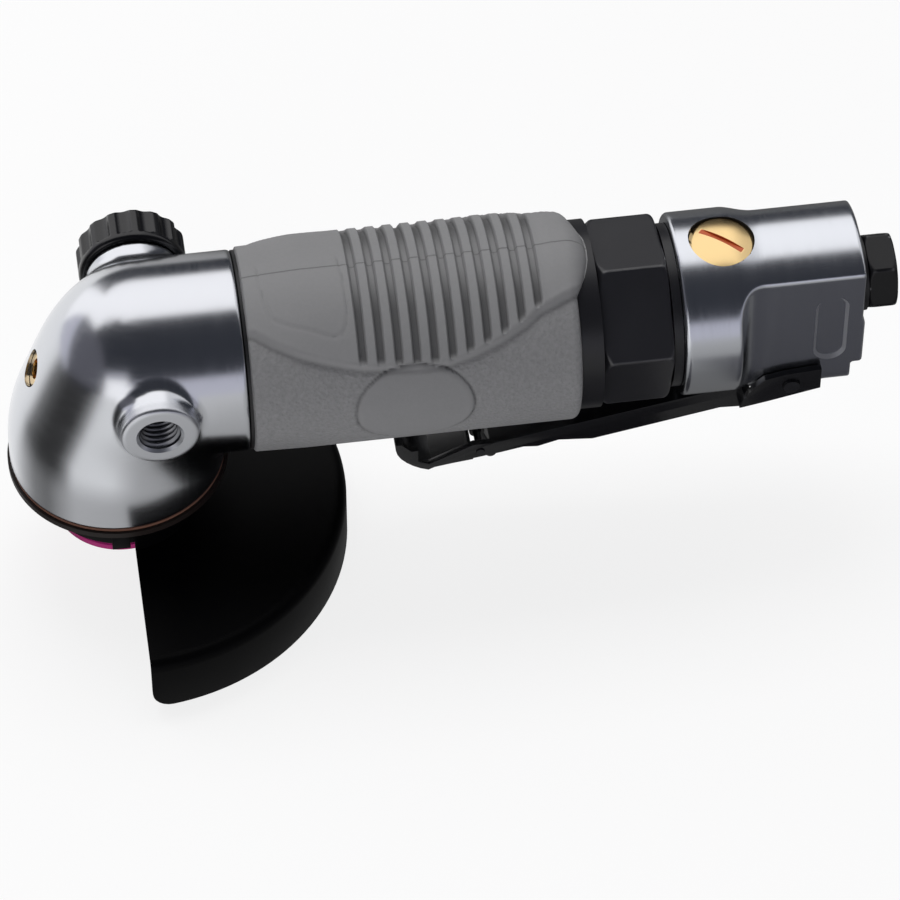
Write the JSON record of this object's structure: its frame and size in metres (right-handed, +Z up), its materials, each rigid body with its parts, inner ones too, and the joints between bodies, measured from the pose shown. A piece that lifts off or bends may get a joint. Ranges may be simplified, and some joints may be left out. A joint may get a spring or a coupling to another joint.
{
  "type": "air angle grinder",
  "caption": "Pneumatic angle grinder with a polished gear head, ribbed rubber grip, lever throttle with a safety catch, half guard and a flange for wheels.",
  "frame": {"origin": "spindle axis at the wheel side of the backing flange", "axes": "+Z up the spindle away from the wheel, +X along the motor to the air inlet, -Y towards the open side-handle port"},
  "size_m": [0.2165, 0.111, 0.0906],
  "materials": {
    "cast_aluminium": "polished, lightly brushed",
    "steel": "ground",
    "blackened": "satin black oxide",
    "grip_rubber": "fine matte grain",
    "brass": "turned",
    "fibre": "matte red-brown fibre",
    "seal": "smooth black",
    "magenta": "anodised magenta",
    "phenolic": "matte",
    "felt": "felt"
  },
  "bodies": {
    "tool": {"gear_housing": "cast_aluminium", "grease_fitting": "brass", "bearing_cap": "blackened", "cap_gasket": "fibre", "cap_screws": "steel", "lower_bearing": "steel", "upper_bearing": "steel", "pinion_bearing": "steel", "pinion_carrier": "cast_aluminium", "head_seal": "seal", "motor_housing": "steel", "motor_liner": "steel", "liner_pin": "steel", "front_plate": "steel", "rear_plate": "steel", "front_motor_bearing": "steel", "rear_motor_bearing": "steel", "motor_spacer": "steel", "grip_sleeve": "grip_rubber", "grip_collar": "blackened", "coupling_nut": "blackened", "coupling_ring": "blackened", "snap_ring": "blackened", "spigot_oring": "seal", "valve_housing": "cast_aluminium", "valve_plug": "brass", "plug_oring": "seal", "valve_spring": "steel", "valve_seat": "brass", "stem_seal": "seal", "inlet_bushing": "blackened", "inlet_washer": "seal", "inlet_screen": "steel", "exhaust_muffler": "felt"},
    "guard": {"guard": "blackened", "guard_screw": "steel", "guard_nut": "steel"},
    "knob": {"port_knob": "blackened", "knob_stud": "steel"},
    "rotor": {"rotor": "steel", "rotor_vanes": "phenolic", "pinion": "steel"},
    "spindle": {"spindle": "steel", "gear_key": "steel", "gear_nut": "blackened", "bevel_gear": "steel", "backing_flange": "magenta"},
    "lever": {"lever": "blackened", "lever_pin": "steel", "catch_pin": "steel", "catch_spring": "steel"},
    "throttle": {"throttle_valve": "brass"},
    "catch": {"safety_catch": "blackened"}
  },
  "joints": [
    {"name": "rotor_spin", "type": "hinge", "parent": "tool", "child": "rotor", "pos_m": [0.069, 0, 0.051], "axis": [1, 0, 0], "continuous": true},
    {"name": "spindle_spin", "type": "hinge", "parent": "tool", "child": "spindle", "pos_m": [0, 0, 0.02], "axis": [0, 0, 1], "continuous": true},
    {"name": "guard_swivel", "type": "hinge", "parent": "tool", "child": "guard", "pos_m": [0, 0, 0.009], "axis": [0, 0, 1], "range_deg": [-90, 90]},
    {"name": "knob_turn", "type": "hinge", "parent": "tool", "child": "knob", "pos_m": [0.008, 0.03, 0.0545], "axis": [0, 1, 0], "range_deg": [-180, 180]},
    {"name": "lever_hinge", "type": "hinge", "parent": "tool", "child": "lever", "pos_m": [0.1636, 0, 0.0329], "axis": [0, 1, 0], "range_deg": [0, 2.8], "stiffness_Nm_per_rad": 2, "springref_deg": -5.73},
    {"name": "throttle_slide", "type": "slide", "parent": "tool", "child": "throttle", "axis": [0, 0, 1], "range_m": [0, 0.0008], "deforming": ["valve_spring"]},
    {"name": "catch_hinge", "type": "hinge", "parent": "lever", "child": "catch", "pos_m": [0.088, 0, 0.0153], "axis": [0, 1, 0], "range_deg": [0, 25], "stiffness_Nm_per_rad": 0.02, "springref_deg": -20.05}
  ],
  "couplings": [
    {"joint": "spindle_spin", "follows": "rotor_spin", "ratio": 0.55},
    {"joint": "throttle_slide", "follows": "lever_hinge", "m_per_rad": 0.0163}
  ]
}
